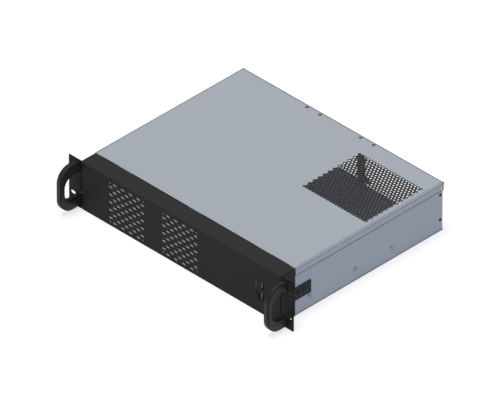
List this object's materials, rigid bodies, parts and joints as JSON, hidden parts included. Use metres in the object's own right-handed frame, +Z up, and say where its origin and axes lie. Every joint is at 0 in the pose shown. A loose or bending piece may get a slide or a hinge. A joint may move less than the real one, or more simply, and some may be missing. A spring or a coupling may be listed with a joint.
{
  "type": "empty rackmount server case",
  "caption": "Low 19 inch rack case with folded grey steel tray, slide-off vented cover, black slotted front, rack ears with handles, and bare inner fittings.",
  "frame": {"origin": "under the middle of the case's outer box, on the plane of the tray's underside", "axes": "+X to the right seen from the front, +Y to the back, +Z up"},
  "size_m": [0.4826, 0.391, 0.0891],
  "materials": {
    "grey_cover": "satin",
    "grey_steel": "satin",
    "plated_steel": "satin",
    "black_paint": "matte",
    "black_handle": "satin",
    "screw_metal": "bright",
    "filter_mesh": "matte",
    "brass": "bright",
    "circuit_board": "satin",
    "socket_shell": "bright",
    "socket_tongue": "satin",
    "black_plastic": "satin",
    "smoked_lens": "gloss",
    "light_epoxy": "gloss"
  },
  "bodies": {
    "case": {"chassis_tray": "grey_steel", "rear_panel": "grey_steel", "front_bezel": "black_paint", "right_ear": "black_paint", "left_ear": "black_paint", "right_handle": "black_handle", "left_handle": "black_handle", "handle_screws": "screw_metal", "ear_screws": "screw_metal", "rear_panel_screws": "screw_metal", "left_filter_screen": "filter_mesh", "right_filter_screen": "filter_mesh", "left_filter_frame": "grey_steel", "right_filter_frame": "grey_steel", "slot_cover_1": "plated_steel", "slot_cover_2": "plated_steel", "slot_cover_3": "plated_steel", "slot_cover_4": "plated_steel", "slot_cover_screws": "screw_metal", "board_standoffs": "brass", "psu_stop": "grey_steel", "psu_stop_screws": "screw_metal", "drive_bracket": "grey_steel", "drive_bracket_screws": "screw_metal", "connector_bracket": "grey_steel", "connector_bracket_screws": "screw_metal", "connector_board": "circuit_board", "lower_socket_shell": "socket_shell", "upper_socket_shell": "socket_shell", "lower_socket_tongue": "socket_tongue", "upper_socket_tongue": "socket_tongue", "power_switch": "black_plastic", "reset_switch": "black_plastic", "indicator_lens": "smoked_lens", "indicator_lights": "light_epoxy"},
    "cover": {"top_cover": "grey_cover", "cover_screws": "screw_metal", "cover_nuts": "screw_metal"},
    "power_button": {"power_button": "black_plastic"},
    "reset_button": {"reset_button": "black_plastic"}
  },
  "joints": [
    {"name": "cover_slide", "type": "slide", "parent": "case", "child": "cover", "axis": [0, 1, 0], "range_m": [0, 0.33]},
    {"name": "power_button_press", "type": "slide", "parent": "case", "child": "power_button", "axis": [0, 1, 0], "range_m": [0, 0.0015], "stiffness_N_per_m": 400},
    {"name": "reset_button_press", "type": "slide", "parent": "case", "child": "reset_button", "axis": [0, 1, 0], "range_m": [0, 0.0008], "stiffness_N_per_m": 300}
  ]
}
